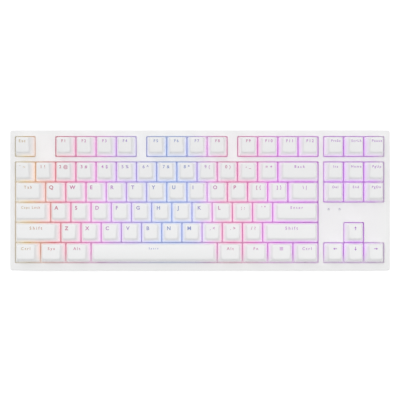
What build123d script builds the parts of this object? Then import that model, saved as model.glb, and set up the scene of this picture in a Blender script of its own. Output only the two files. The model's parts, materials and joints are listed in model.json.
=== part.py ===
from build123d import *

import os
from math import atan, cos, degrees, radians, sin, tan

# Tenkeyless mechanical keyboard with back-lit keys, in millimetres.
#
# Row frame: X to the right, Y to the rear, Z up. The origin lies on the desk, under the middle of the case.
# Deck frame: tilted by TYPING_ANGLE about X, with Z = 0 on the upper face of the switch plate.
# Everything except the feet is drawn in the deck frame and then placed with DECK.

# ---- driving dimensions -------------------------------------------------------------------------

PITCH = 19.05  # one key unit
LAYOUT_UNITS = (18.25, 6.25)  # key field, including the gap before the navigation keys
MARGIN_LEFT = 4.7  # key field to the case's outer edge
MARGIN_RIGHT = 5.5
MARGIN_REAR = 5.9
MARGIN_FRONT = 7.3
TYPING_ANGLE = 6.5
PLATE_FRONT_HEIGHT = 13.2  # plate's upper face above the desk, at the front edge of the case

CASE_WIDTH = LAYOUT_UNITS[0] * PITCH + MARGIN_LEFT + MARGIN_RIGHT
CASE_DEPTH = LAYOUT_UNITS[1] * PITCH + MARGIN_FRONT + MARGIN_REAR
CASE_TOP = 7.5  # bezel's upper face, deck frame
CASE_SPLIT = -2.0  # plane between the two case halves
CASE_CORNER = 1.7
CASE_ROUND = 0.9  # along the bezel's upper edge
CASE_WALL = 2.4
CASE_TAPER = 8.0  # lower half leans in by this angle
CASE_BOTTOM = 1.0  # underside above the desk, row frame
FLOOR = 2.4
SKIN = 2.0  # bezel skin over the hollow blank areas
WINDOW_GROWTH = 0.3  # window edge beyond the key cells it frames
WINDOW_CORNER = 1.0

GAP = 0.1  # seated parts
CLEARANCE = 0.2  # loose parts
TRAVEL = 4.0  # full key stroke

# Height of a cap over its rim and tilt of its top, one pair for each row from the rear to the front.
CAP_ROWS = [(11.0, 8.0), (10.4, 7.0), (9.0, 3.5), (8.4, 0.0), (8.6, -5.0), (8.6, -5.0)]
ROW_CENTRES = [5.75, 4.5, 3.5, 2.5, 1.5, 0.5]  # key units from the front of the key field
SPACE_UNITS = 6.25
CAP_GAP = 0.85  # between neighbouring caps
CAP_RIM = 6.0  # lower edge of a cap at rest
CAP_SIDE_LEAN = 3.1  # inset of the top face from the base: sides, rear, front
CAP_REAR_LEAN = 1.2
CAP_FRONT_LEAN = 3.3
CAP_WALL = 1.3
CAP_ROOF = 1.6
CAP_TRIM = 2.5  # height cut away over the middle of the finger surface
BOSS_SINK = 0.4  # bosses run into the roof by this much
CAP_CORNERS = (1.0, 1.8)  # at the base and at the top
DISH_DEPTH = 0.6
CREST_RADIUS = 32.0  # convex top of the space bar
BOSS_RADIUS = 2.6
BOSS_FOOT = 6.5

CROSS = (4.0, 1.2)  # cross on every stem that a cap is pushed onto
CROSS_TOP = 10.0
SHOULDER = (6.8, 5.4)  # slider body
SHOULDER_SPAN = (2.5, 6.4)
POST = 2.0
POST_FOOT = 0.1

HOUSING = 13.8  # switch body below the plate
HOUSING_FLANGE = 15.6
FLANGE_TOP = 1.0
HOUSING_CAVITY = 11.8
HOUSING_FLOOR = 0.8
COVER_BASE = 15.0
COVER_CROWN = 11.4
COVER_TOP = 6.6
COVER_WALL = 1.0
PLATE_HOLE = 14.0
SPRING_RADII = (2.1, 1.7)
LEAF = (4.0, 0.3)
LEAF_SPOT = (2.6, -4.0)
PIN_WIDTH = 0.8
PIN_FOOT = -7.4
LED = (3.4, 2.6, 1.0)
LED_Y = 4.2

PLATE_THICKNESS = 1.5
BOARD_TOP = -5.0
BOARD_THICKNESS = 1.6
BOARD_INSET = 4.8
FOAM_GAP = 0.2
FOAM_HOLE = 14.4

# Stabilizers: distance from the key's centre to each insert, by key width in units.
STABILIZER_REACH = {2.0: 11.9, 2.25: 11.9, 2.75: 11.9, SPACE_UNITS: 50.0}
WIRE_RADIUS = 0.6
WIRE_BEND = 1.5
WIRE_ARM = 8.0
WIRE_PIVOT = (-8.6, -2.3)  # deck Y and Z from the key's centre
WIRE_RISE = 14.5  # arms stand up by this angle at rest and hang by it when pressed
WIRE_BORE = 0.66
WIRE_SLOT = 2.4  # width of the foam's slot along the bar
INSERT = (5.0, 6.4)
INSERT_FOOT = -2.25
INSERT_SLOT = (1.7, -1.75, 1.15)  # width, lower and upper edge
STAB_WIDTH = 6.8
STAB_SPAN = (-6.6, 6.0)
STAB_HEIGHT = (-4.6, 4.6)
STAB_FLANGE = (7.8, -9.7, 6.6)  # width, front and rear edge; covers the hole in the plate
STAB_SADDLE = (1.7, 3.0)  # width and depth of the block that holds the wire
STAB_OPENING = (7.2, 16.2, -1.8)  # width, depth and centre of its hole in plate, foam and board

SCREW_RADIUS = 1.2
HEAD_RADIUS = 2.3
HEAD_HEIGHT = 1.4
BOSS_CORE = 1.3
BOSS_OUTER = 3.0
LUG_OUTER = 2.3
BOSS_TIP = -7.6  # lower end of the bosses under the top case
SEAT = 2.0  # material under a screw head
PILLAR_WALL = 1.2  # around the counterbore of a head
BLANK_SCREWS = [(1.5, 5.75), (6.25, 5.75), (10.75, 5.75), (17.75, 2.5), (15.75, 1.5), (17.75, 1.5)]
FRONT_SCREWS = [0.6, 5.0, 10.0, 14.4]  # key units from the left of the key field
FRONT_SCREW_INSET = 4.6

INDICATOR_X = [4.9, 15.2]  # from the left of the navigation block
INDICATOR_Y = 3.0  # behind the centre of the home row
INDICATOR_RADIUS = 0.8
INDICATOR_WELL = 2.4  # radius of the room around an indicator's diode

USB_SHELL = (8.94, 3.26)
USB_WALL = 0.3
USB_DEPTH = 7.3
USB_OVERHANG = 2.4  # beyond the rear edge of the board
USB_OPENING = (12.4, 6.8)
USB_TONGUE = (6.6, 0.7, 5.0)

FLIP_X = 104.0  # centre of each flip-out foot
FLIP_AXIS = (50.0, 3.6)  # row Y and Z of the hinge
FLIP_THICKNESS = 4.4
FLIP_LENGTH = 16.0
FLIP_HALF_WIDTH = 15.0
FLIP_PAD = 1.6
FLIP_PIN = (1.5, 2.0)  # radius and length
FLIP_PIN_CLEARANCE = 0.08
FLIP_SIDE_GAP = 0.5
POCKET_WALL = 2.6
POCKET_FRONT_ROOM = 5.0
POCKET_REAR_ROOM = 3.2
POCKET_TOP = 6.8

PAD_SIZE = (34.0, 8.0, 1.6)
PAD_SPOTS = [(-150.0, -51.5), (150.0, -51.5), (0.0, -51.5), (-148.0, 38.0), (148.0, 38.0)]

# Key banks: node, row from the rear, left edge in key units, width of each key in units.
BANKS = [
    ("key_esc", 0, 0.0, [1]),
    ("keys_f1_f4", 0, 2.0, [1] * 4),
    ("keys_f5_f8", 0, 6.5, [1] * 4),
    ("keys_f9_f12", 0, 11.0, [1] * 4),
    ("keys_prtsc_pause", 0, 15.25, [1] * 3),
    ("keys_grave_6", 1, 0.0, [1] * 7),
    ("keys_7_equals", 1, 7.0, [1] * 6),
    ("key_backspace", 1, 13.0, [2.0]),
    ("keys_insert_pgup", 1, 15.25, [1] * 3),
    ("key_tab", 2, 0.0, [1.5]),
    ("keys_q_t", 2, 1.5, [1] * 5),
    ("keys_y_bracket", 2, 6.5, [1] * 7),
    ("key_backslash", 2, 13.5, [1.5]),
    ("keys_delete_pgdn", 2, 15.25, [1] * 3),
    ("key_caps_lock", 3, 0.0, [1.75]),
    ("keys_a_g", 3, 1.75, [1] * 5),
    ("keys_h_quote", 3, 6.75, [1] * 6),
    ("key_enter", 3, 12.75, [2.25]),
    ("key_shift_left", 4, 0.0, [2.25]),
    ("keys_z_b", 4, 2.25, [1] * 5),
    ("keys_n_slash", 4, 7.25, [1] * 5),
    ("key_shift_right", 4, 12.25, [2.75]),
    ("key_arrow_up", 4, 16.25, [1]),
    ("key_ctrl_left", 5, 0.0, [1.25]),
    ("key_super_left", 5, 1.25, [1.25]),
    ("key_alt_left", 5, 2.5, [1.25]),
    ("key_space", 5, 3.75, [SPACE_UNITS]),
    ("key_alt_right", 5, 10.0, [1.25]),
    ("key_fn", 5, 11.25, [1.25]),
    ("key_menu", 5, 12.5, [1.25]),
    ("key_ctrl_right", 5, 13.75, [1.25]),
    ("key_arrow_left", 5, 15.25, [1]),
    ("key_arrow_down", 5, 16.25, [1]),
    ("key_arrow_right", 5, 17.25, [1]),
]

# Windows in the bezel: left and right edge, then front and rear edge, in key units of the key field.
WINDOWS = [
    (0, 1, 5.25, 6.25),
    (2, 6, 5.25, 6.25),
    (6.5, 10.5, 5.25, 6.25),
    (11, 15, 5.25, 6.25),
    (15.25, 18.25, 5.25, 6.25),
    (0, 15, 0, 5),
    (15.25, 18.25, 3, 5),
    (15.25, 18.25, 0, 1),
    (16.25, 17.25, 0, 2),
]

# Blank areas of the bezel that are hollow underneath, in the same terms.
HOLLOWS = [(1, 2, 5.25, 6.25), (15.25, 18.25, 2, 3)]

# Chips under the board: width, depth, thickness, then deck X and Y.
CHIPS = [(9, 9, 1.2, -38, 26), (7, 7, 1.0, 38, 26), (5, 4, 1.2, -20, 36), (8, 5, 1.4, 13, 47)]
DIODE_ARRAY = (6, 4, 1.2)
DIODE_ARRAY_X = (-120, -72, -24, 24, 72, 120)
DIODE_ARRAY_Y = -10

# ---- derived places -----------------------------------------------------------------------------

LAYOUT_LEFT = MARGIN_LEFT - CASE_WIDTH / 2
LAYOUT_FRONT = MARGIN_FRONT - CASE_DEPTH / 2
NAVIGATION_LEFT = LAYOUT_LEFT + 15.25 * PITCH
HOME_ROW_Y = LAYOUT_FRONT + ROW_CENTRES[3] * PITCH
DECK_HEIGHT = PLATE_FRONT_HEIGHT + CASE_DEPTH / 2 * tan(radians(TYPING_ANGLE))
# The tilted case reaches further forward at its upper edge than it does back at its split plane.
DECK_SHIFT = (CASE_TOP - CASE_ROUND + CASE_SPLIT) / 2 * sin(radians(TYPING_ANGLE))
DECK = Pos(0, DECK_SHIFT, DECK_HEIGHT) * Rot(X=TYPING_ANGLE)
REACH = 400.0  # larger than the keyboard, for trimming
TAPER_DEPTH = 32.0


def block(width, depth, low, high, x=0.0, y=0.0):
    """Upright box centred on x, y, from low to high."""
    return Pos(x, y, (low + high) / 2) * Box(width, depth, high - low)


def rod(radius, low, high, x=0.0, y=0.0):
    """Upright cylinder from low to high."""
    return Pos(x, y, (low + high) / 2) * Cylinder(radius, high - low)


def field_x(units):
    return LAYOUT_LEFT + units * PITCH


def field_y(units):
    return LAYOUT_FRONT + units * PITCH


def keys_of(bank):
    """Width in units and deck X and Y of each key of a bank."""
    _, row, left, widths = bank
    for index, units in enumerate(widths):
        middle = left + sum(widths[:index]) + units / 2
        yield units, field_x(middle), field_y(ROW_CENTRES[row])


def all_keys():
    return [key for bank in BANKS for key in keys_of(bank)]


def wide_keys():
    """Bank name, reach of its stabilizer and the key's centre."""
    for bank in BANKS:
        for units, x, y in keys_of(bank):
            if units in STABILIZER_REACH:
                yield bank[0], STABILIZER_REACH[units], x, y


def stabilizer_spots():
    return [(x + side * reach, y, side) for _, reach, x, y in wide_keys() for side in (-1, 1)]


def screw_spots():
    """Deck X, Y and boss radius of each case screw."""
    blanks = [(field_x(x), field_y(y), BOSS_OUTER) for x, y in BLANK_SCREWS]
    front = FRONT_SCREW_INSET - CASE_DEPTH / 2
    return blanks + [(field_x(x), front, LUG_OUTER) for x in FRONT_SCREWS]


def indicator_spots():
    return [(NAVIGATION_LEFT + x, HOME_ROW_Y + INDICATOR_Y) for x in INDICATOR_X]


# ---- keycaps and switches -----------------------------------------------------------------------


def cap_frustum(units, row, inside):
    """Leaning block of a cap, inside its outer skin by the given distance, rising past the top."""
    height = CAP_ROWS[row][0]
    rise = height + CAP_TRIM
    grow = rise / height
    width = units * PITCH - CAP_GAP - 2 * inside
    depth = PITCH - CAP_GAP - 2 * inside
    crown_width = width - 2 * CAP_SIDE_LEAN * grow
    crown_depth = depth - (CAP_REAR_LEAN + CAP_FRONT_LEAN) * grow
    crown_y = (CAP_FRONT_LEAN - CAP_REAR_LEAN) / 2 * grow
    foot = Pos(0, 0, CAP_RIM) * RectangleRounded(width, depth, CAP_CORNERS[0])
    crown = Pos(0, crown_y, CAP_RIM + rise) * RectangleRounded(crown_width, crown_depth, CAP_CORNERS[1])
    return loft([foot, crown], ruled=True)


def crown_cutter(units, row, drop):
    """Everything above a cap's finger surface, or above that surface lowered by drop."""
    height, tilt = CAP_ROWS[row]
    middle = (CAP_FRONT_LEAN - CAP_REAR_LEAN) / 2
    surface = Pos(0, middle, CAP_RIM + height - drop) * Rot(X=tilt)
    if units == SPACE_UNITS:
        crest = Pos(0, 0, -CREST_RADIUS) * Rot(Y=90) * Cylinder(CREST_RADIUS, REACH)
        return surface * (block(REACH, 2 * PITCH, -PITCH / 2, PITCH) - crest)
    top_width = units * PITCH - CAP_GAP - 2 * CAP_SIDE_LEAN
    dish = (top_width / 2) ** 2 / (2 * DISH_DEPTH)
    return surface * (Pos(0, 0, dish) * Rot(X=90) * Cylinder(dish, 2 * PITCH))


def cross(extra, low, high, x=0.0):
    """Upright cross of the stem's section, grown by extra on each side."""
    long, short = CROSS[0] + 2 * extra, CROSS[1] + 2 * extra
    return block(long, short, low, high, x) + block(short, long, low, high, x)


def keycap(units, row):
    """Hollow cap with a socket for the stem and, on a wide key, one for each stabilizer insert."""
    shell = cap_frustum(units, row, 0) - crown_cutter(units, row, 0)
    shell -= cap_frustum(units, row, CAP_WALL) - crown_cutter(units, row, CAP_ROOF)
    reach = STABILIZER_REACH.get(units, 0)
    boss_top = CAP_RIM + CAP_ROWS[row][0] - CAP_ROOF + BOSS_SINK
    for x in sorted({0, -reach, reach}):
        shell += rod(BOSS_RADIUS, BOSS_FOOT, boss_top, x)
        shell -= cross(GAP, BOSS_FOOT, CROSS_TOP + GAP, x)
    return shell


def stem():
    """Slider of a switch: cross, shoulder and the post inside the spring."""
    return (
        cross(0, SHOULDER_SPAN[1], CROSS_TOP)
        + block(*SHOULDER, *SHOULDER_SPAN)
        + block(POST, POST, POST_FOOT, SHOULDER_SPAN[0])
    )


def stabilizer_insert():
    """Sliding stem at each end of a wide key, slotted from the front for the wire."""
    width, low, high = INSERT_SLOT
    body = cross(0, SHOULDER_SPAN[1], CROSS_TOP) + block(*INSERT, INSERT_FOOT, SHOULDER_SPAN[1])
    return body - block(width, INSERT[1] / 2, low, high, 0, -INSERT[1] / 4 - CLEARANCE)


def key_bank(bank):
    """Caps, stems and inserts of one bank, each its own solid."""
    row = bank[1]
    caps = {units: keycap(units, row) for units in set(bank[3])}
    solids = []
    for units, x, y in keys_of(bank):
        solids += [Pos(x, y, 0) * caps[units], Pos(x, y, 0) * stem()]
        reach = STABILIZER_REACH.get(units)
        if reach:
            solids += [Pos(x + side * reach, y, 0) * stabilizer_insert() for side in (-1, 1)]
    return solids


def lower_housing():
    """Cup of a switch, with openings for the diode and the contact pin."""
    low = BOARD_TOP + GAP
    cup = block(HOUSING, HOUSING, low, GAP) + block(HOUSING_FLANGE, HOUSING_FLANGE, GAP, FLANGE_TOP)
    cup -= block(HOUSING_CAVITY, HOUSING_CAVITY, low + HOUSING_FLOOR, FLANGE_TOP)
    cup -= block(LED[0] + 2 * CLEARANCE, LED[1] + 2 * CLEARANCE, low, 0, 0, LED_Y)
    return cup - block(PIN_WIDTH + 2 * CLEARANCE, LEAF[1] + 2 * CLEARANCE, low, 0, *LEAF_SPOT)


def upper_housing():
    """Clear cover of a switch, open in the middle for the slider."""
    low = FLANGE_TOP + GAP
    lean = degrees(atan((COVER_BASE - COVER_CROWN) / 2 / (COVER_TOP - low)))

    def frustum(thickness):
        width = COVER_BASE - 2 * thickness
        return extrude(Pos(0, 0, low) * Rectangle(width, width), COVER_TOP - thickness - low, taper=lean)

    cover = frustum(0) - frustum(COVER_WALL)
    return cover - block(SHOULDER[0] + 2 * CLEARANCE, SHOULDER[1] + 2 * CLEARANCE, low, COVER_TOP)


def spring():
    """Room taken by a coil spring, as a sleeve between the cup's floor and the slider."""
    low, high = BOARD_TOP + HOUSING_FLOOR + 2 * GAP, SHOULDER_SPAN[0] - GAP
    return rod(SPRING_RADII[0], low, high) - rod(SPRING_RADII[1], low, high)


def contact():
    """Leaf with its solder pin."""
    low = BOARD_TOP + HOUSING_FLOOR + 3 * GAP
    return block(*LEAF, low, FLANGE_TOP - CLEARANCE) + block(PIN_WIDTH, LEAF[1], PIN_FOOT, low)


def diode():
    return block(LED[0], LED[1], BOARD_TOP + GAP, BOARD_TOP + GAP + LED[2])


def at_each_key(solid, dx=0.0, dy=0.0):
    return [Pos(x + dx, y + dy, 0) * solid for _, x, y in all_keys()]


# ---- stabilizers --------------------------------------------------------------------------------


def stabilizer_housing(side):
    """Guide of one insert, with the saddle that holds the wire on its inner side."""
    low, high = STAB_HEIGHT
    front, rear = STAB_SPAN
    pivot_y, pivot_z = WIRE_PIVOT
    body = block(STAB_WIDTH, rear - front, low, high, 0, (rear + front) / 2)
    flange, flange_front, flange_rear = STAB_FLANGE
    flange_y = (flange_rear + flange_front) / 2
    body += block(flange, flange_rear - flange_front, GAP, FLANGE_TOP - GAP, 0, flange_y)
    body -= block(INSERT[0] + 2 * CLEARANCE, INSERT[1] + 2 * CLEARANCE, low, high)
    slot_top = pivot_z + WIRE_ARM * sin(radians(WIRE_RISE)) + CLEARANCE
    body -= block(INSERT_SLOT[0] + GAP, -front, low, slot_top, 0, front / 2)
    width, depth = STAB_SADDLE
    saddle_x = -side * (STAB_WIDTH - width) / 2
    body += block(width, depth, low, -FLANGE_TOP, saddle_x, front - depth / 2)
    bore = Pos(saddle_x, pivot_y, pivot_z) * Rot(Y=90) * Cylinder(WIRE_BORE, width)
    return body - bore


def stabilizer_wire(reach):
    """Bent wire: a bar on the pivot axis with an arm to each insert, arms up at rest."""
    arm = (WIRE_ARM, 0)
    path = FilletPolyline(
        (-reach, *arm), (-reach, 0, 0), (reach, 0, 0), (reach, *arm), radius=WIRE_BEND
    )
    wire = sweep(Plane(origin=path @ 0, z_dir=path % 0) * Circle(WIRE_RADIUS), path=path)
    return Pos(0, *WIRE_PIVOT) * Rot(X=WIRE_RISE) * wire


# ---- deck sheets --------------------------------------------------------------------------------


def holes_for_bosses(low, high):
    """Round clearance for the case bosses."""
    return [rod(radius + 2 * CLEARANCE, low, high, x, y) for x, y, radius in screw_spots()]


def holes_for_indicators(low, high):
    """Round clearance for the indicator pipes and their diodes."""
    return [rod(INDICATOR_WELL, low, high, x, y) for x, y in indicator_spots()]


def holes_for_stabilizers(low, high):
    width, depth, middle = STAB_OPENING
    return [block(width, depth, low, high, x, y + middle) for x, y, _ in stabilizer_spots()]


def holes_for_switches(size, low, high):
    return [block(size, size, low, high, x, y) for _, x, y in all_keys()]


def sheet(inset, front_inset, low, high):
    """Plain rectangle inset from the case outline."""
    front = front_inset - CASE_DEPTH / 2
    rear = CASE_DEPTH / 2 - inset
    return block(CASE_WIDTH - 2 * inset, rear - front, low, high, 0, (rear + front) / 2)


def lug_notches(low, high):
    """Cut-outs of the plate around the front screw lugs."""
    width = 2 * (LUG_OUTER + 2 * CLEARANCE)
    depth = MARGIN_FRONT - WINDOW_GROWTH
    front = -CASE_DEPTH / 2
    return [block(width, depth, low, high, field_x(x), front + depth / 2) for x in FRONT_SCREWS]


def switch_plate():
    low = -PLATE_THICKNESS
    inset = CASE_WALL + CLEARANCE + GAP
    cuts = holes_for_switches(PLATE_HOLE, low, 0) + holes_for_stabilizers(low, 0)
    cuts += holes_for_bosses(low, 0) + holes_for_indicators(low, 0) + lug_notches(low, 0)
    return sheet(inset, inset, low, 0) - cuts


def sound_foam():
    """Damping sheet between plate and board, slotted for the stabilizer wires."""
    low, high = BOARD_TOP + FOAM_GAP, -PLATE_THICKNESS - FOAM_GAP
    cuts = holes_for_switches(FOAM_HOLE, low, high) + holes_for_stabilizers(low, high)
    cuts += holes_for_bosses(low, high) + holes_for_indicators(low, high)
    for _, reach, x, y in wide_keys():
        cuts.append(block(2 * reach, WIRE_SLOT, low, high, x, y + WIRE_PIVOT[0]))
    return sheet(BOARD_INSET, MARGIN_FRONT, low, high) - cuts


def circuit_board():
    low, high = BOARD_TOP - BOARD_THICKNESS, BOARD_TOP
    cuts = holes_for_stabilizers(low, high) + holes_for_bosses(low, high)
    pin_hole = block(PIN_WIDTH + 2 * CLEARANCE, LEAF[1] + 2 * CLEARANCE, low, high)
    cuts += at_each_key(pin_hole, *LEAF_SPOT)
    return sheet(BOARD_INSET, MARGIN_FRONT, low, high) - cuts


def controller_chips():
    """Main controller, LED driver, memory and a row of diode arrays under the board."""
    high = BOARD_TOP - BOARD_THICKNESS - GAP
    chips = CHIPS + [(*DIODE_ARRAY, x, DIODE_ARRAY_Y) for x in DIODE_ARRAY_X]
    return [block(width, depth, high - thick, high, x, y) for width, depth, thick, x, y in chips]


# ---- case ---------------------------------------------------------------------------------------


def outline(inset, z, corner):
    """Rounded rectangle of the case, inset by a distance, at a height."""
    return Pos(0, 0, z) * RectangleRounded(CASE_WIDTH - 2 * inset, CASE_DEPTH - 2 * inset, corner)


def window(span, grow, low, high):
    """Opening or hollow over a rectangle of key cells."""
    left, right, front, rear = span
    width = (right - left) * PITCH + 2 * grow
    depth = (rear - front) * PITCH + 2 * grow
    spot = Pos(field_x((left + right) / 2), field_y((front + rear) / 2), low)
    return extrude(spot * RectangleRounded(width, depth, WINDOW_CORNER), high - low)


def top_case():
    """Bezel with a window over each key group, hollow under its blank areas, with screw bosses."""
    ledge = CLEARANCE
    bezel = extrude(outline(0, CASE_SPLIT, CASE_CORNER), CASE_TOP - CASE_SPLIT)
    bezel = fillet(bezel.faces().sort_by(Axis.Z)[-1].edges(), CASE_ROUND)
    bezel -= extrude(outline(CASE_WALL, CASE_SPLIT, CASE_CORNER / 2), ledge - CASE_SPLIT)
    bezel -= [window(span, WINDOW_GROWTH, ledge, CASE_TOP) for span in WINDOWS]
    wall = WINDOW_GROWTH + SKIN
    bezel -= [window(span, -wall, ledge, CASE_TOP - SKIN) for span in HOLLOWS]
    roof = CASE_TOP - SKIN
    bezel += [rod(radius, BOSS_TIP, roof, x, y) for x, y, radius in screw_spots()]
    bezel -= [rod(BOSS_CORE, BOSS_TIP, ledge, x, y) for x, y, _ in screw_spots()]
    return bezel - [
        rod(INDICATOR_RADIUS + CLEARANCE, ledge, CASE_TOP, x, y) for x, y in indicator_spots()
    ]


def indicator_lenses():
    """Light pipes from the board to the bezel."""
    low = BOARD_TOP + GAP + LED[2] + CLEARANCE
    return [rod(INDICATOR_RADIUS, low, CASE_TOP, x, y) for x, y in indicator_spots()]


def backlight_leds():
    indicators = [Pos(x, y, 0) * diode() for x, y in indicator_spots()]
    return at_each_key(diode(), 0, LED_Y) + indicators


def tapered(inset, high, corner):
    """Leaning block under the split plane, inset from its outer skin."""
    lean = tan(radians(CASE_TAPER))
    low = CASE_SPLIT - TAPER_DEPTH
    upper = outline(inset + (CASE_SPLIT - high) * lean, high, corner)
    return loft([upper, outline(inset + TAPER_DEPTH * lean, low, corner)], ruled=True)


def above(height):
    """Room above a level of the row frame."""
    return block(REACH, REACH, height, REACH / 2)


def plate_ledge():
    """Ring inside the lower half that the plate's edge rests on."""
    high = -PLATE_THICKNESS - GAP
    low = BOSS_TIP
    inset = CASE_WALL + CLEARANCE
    ring = extrude(outline(inset, low, CASE_CORNER / 2), high - low)
    return ring - extrude(outline(inset + SKIN - CLEARANCE, low, CASE_CORNER / 2), high - low)


def screw_pillars():
    """Pillars from the floor to the bosses, with a counterbore for each head."""
    seat = BOSS_TIP - GAP
    low = CASE_SPLIT - TAPER_DEPTH
    radius = HEAD_RADIUS + CLEARANCE + PILLAR_WALL
    return [rod(radius, low, seat, x, y) for x, y, _ in screw_spots()]


def screw_cuts():
    """Shank holes, counterbores and the room around the bosses, in the lower half."""
    seat = BOSS_TIP - GAP
    low = CASE_SPLIT - TAPER_DEPTH
    shank = rod(SCREW_RADIUS + CLEARANCE, low, seat) + rod(HEAD_RADIUS + CLEARANCE, low, seat - SEAT)
    return [
        Pos(x, y, 0) * (shank + rod(radius + CLEARANCE, seat, CASE_TOP)) for x, y, radius in screw_spots()
    ]


def case_screws():
    seat = BOSS_TIP - GAP - SEAT - GAP
    tip = CASE_SPLIT + SEAT / 2
    return [
        rod(SCREW_RADIUS, seat, tip, x, y) + rod(HEAD_RADIUS, seat - HEAD_HEIGHT, seat, x, y)
        for x, y, _ in screw_spots()
    ]


def pocket_box(grow, low, high):
    """Room of a flip-out foot, grown by a wall thickness."""
    front = FLIP_AXIS[0] - FLIP_LENGTH - FLIP_PAD - POCKET_FRONT_ROOM
    rear = FLIP_AXIS[0] + POCKET_REAR_ROOM
    width = 2 * (FLIP_HALF_WIDTH + FLIP_SIDE_GAP)
    return block(width + 2 * grow, rear - front + 2 * grow, low, high, 0, (rear + front) / 2)


def flip_pins(radius, length):
    """Hinge pins of a flip-out foot, or with a larger radius, their bores."""
    return Pos(0, *FLIP_AXIS) * Rot(Y=90) * Cylinder(radius, 2 * (FLIP_HALF_WIDTH + length))


def flip_foot():
    """Foot lying forward of its hinge, round at the hinge end, with its pins."""
    thick = FLIP_THICKNESS / 2
    y, z = FLIP_AXIS
    width = 2 * FLIP_HALF_WIDTH
    leaf = Pos(0, y - FLIP_LENGTH / 2, z) * Box(width, FLIP_LENGTH, FLIP_THICKNESS)
    knuckle = Pos(0, y, z) * Rot(Y=90) * Cylinder(thick, width)
    return leaf + knuckle + flip_pins(*FLIP_PIN)


def flip_pad():
    """Rubber tip that touches the desk when the foot is out."""
    middle = FLIP_AXIS[0] - FLIP_LENGTH - GAP - FLIP_PAD / 2
    return Pos(0, middle, FLIP_AXIS[1]) * Box(2 * FLIP_HALF_WIDTH - SKIN, FLIP_PAD, FLIP_THICKNESS)


def rubber_pad(grow, low, high):
    length, width, _ = PAD_SIZE
    return extrude(Pos(0, 0, low) * SlotOverall(length + 2 * grow, width + 2 * grow), high - low)


def usb_place():
    """Deck place of the socket's mouth, on the board's underside at the rear."""
    y = CASE_DEPTH / 2 - BOARD_INSET + USB_OVERHANG
    z = BOARD_TOP - BOARD_THICKNESS - GAP - USB_SHELL[1] / 2
    return Pos(0, y, z) * Rot(X=90)


def usb_c_socket():
    """Steel shell, closed at the back, with the contact tongue inside."""
    width, height = USB_SHELL
    shell = extrude(SlotOverall(width, height), USB_DEPTH)
    shell -= extrude(SlotOverall(width - 2 * USB_WALL, height - 2 * USB_WALL), USB_DEPTH - USB_WALL)
    depth = USB_DEPTH - USB_WALL - GAP
    tongue = block(USB_TONGUE[0], USB_TONGUE[1], depth - USB_TONGUE[2], depth)
    return [usb_place() * shell, usb_place() * tongue]


def usb_opening():
    reach = USB_OVERHANG + BOARD_INSET
    return usb_place() * Pos(0, 0, -reach) * extrude(SlotOverall(*USB_OPENING), 2 * reach)


def bottom_case():
    """Wedge-shaped tray with screw pillars, foot pockets and the cable socket's opening."""
    hull = (DECK * tapered(0, CASE_SPLIT, CASE_CORNER)) & above(CASE_BOTTOM)
    room = (DECK * tapered(CASE_WALL, 0, CASE_CORNER / 2)) & above(CASE_BOTTOM + FLOOR)
    tray = hull - room + DECK * plate_ledge()
    tray += [(DECK * pillar) & hull for pillar in screw_pillars()]
    for side in (-1, 1):
        place = Pos(side * FLIP_X, 0, 0)
        tray += place * pocket_box(POCKET_WALL, CASE_BOTTOM, POCKET_TOP + SKIN)
        tray -= place * pocket_box(0, CASE_BOTTOM, POCKET_TOP)
        tray -= place * flip_pins(FLIP_PIN[0] + FLIP_PIN_CLEARANCE, FLIP_PIN[1] + CLEARANCE)
    tray -= [DECK * cut for cut in screw_cuts()]
    recess = PAD_SIZE[2] - CASE_BOTTOM + GAP
    tray -= [Pos(x, y, 0) * rubber_pad(CLEARANCE, CASE_BOTTOM, CASE_BOTTOM + recess) for x, y in PAD_SPOTS]
    return tray - DECK * usb_opening()


# ---- assembly -----------------------------------------------------------------------------------


def deck_nodes():
    """Nodes drawn in the deck frame, each a list of solids."""
    nodes = {
        "top_case": [top_case()],
        "switch_plate": [switch_plate()],
        "sound_foam": [sound_foam()],
        "circuit_board": [circuit_board()],
        "controller_chips": controller_chips(),
        "usb_c_socket": usb_c_socket(),
        "case_screws": case_screws(),
        "indicator_lenses": indicator_lenses(),
        "backlight_leds": backlight_leds(),
        "switch_lower_housings": at_each_key(lower_housing()),
        "switch_upper_housings": at_each_key(upper_housing()),
        "switch_springs": at_each_key(spring()),
        "switch_contacts": at_each_key(contact(), *LEAF_SPOT),
        "stabilizer_housings": [Pos(x, y, 0) * stabilizer_housing(side) for x, y, side in stabilizer_spots()],
    }
    for name, reach, x, y in wide_keys():
        nodes["stabilizer_wire_" + name.removeprefix("key_")] = [Pos(x, y, 0) * stabilizer_wire(reach)]
    for bank in BANKS:
        nodes[bank[0]] = key_bank(bank)
    return {name: [DECK * solid for solid in solids] for name, solids in nodes.items()}


def desk_nodes():
    """Nodes drawn in the row frame."""
    nodes = {
        "bottom_case": [bottom_case()],
        "rubber_feet": [Pos(x, y, 0) * rubber_pad(0, 0, PAD_SIZE[2]) for x, y in PAD_SPOTS],
    }
    for side, word in ((-1, "left"), (1, "right")):
        place = Pos(side * FLIP_X, 0, 0)
        nodes["flip_foot_" + word] = [place * flip_foot()]
        nodes["flip_foot_pad_" + word] = [place * flip_pad()]
    return nodes


def write_parts():
    os.makedirs("parts", exist_ok=True)
    for name, shapes in {**deck_nodes(), **desk_nodes()}.items():
        solids = [solid for shape in shapes for solid in shape.solids()]
        export_step(Compound(solids), "parts/" + name + ".step")


write_parts()
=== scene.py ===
import colorsys
import json
from math import atan2, ceil, cos, hypot, pi, radians, sin

import bpy
from mathutils import Matrix, Vector


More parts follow.
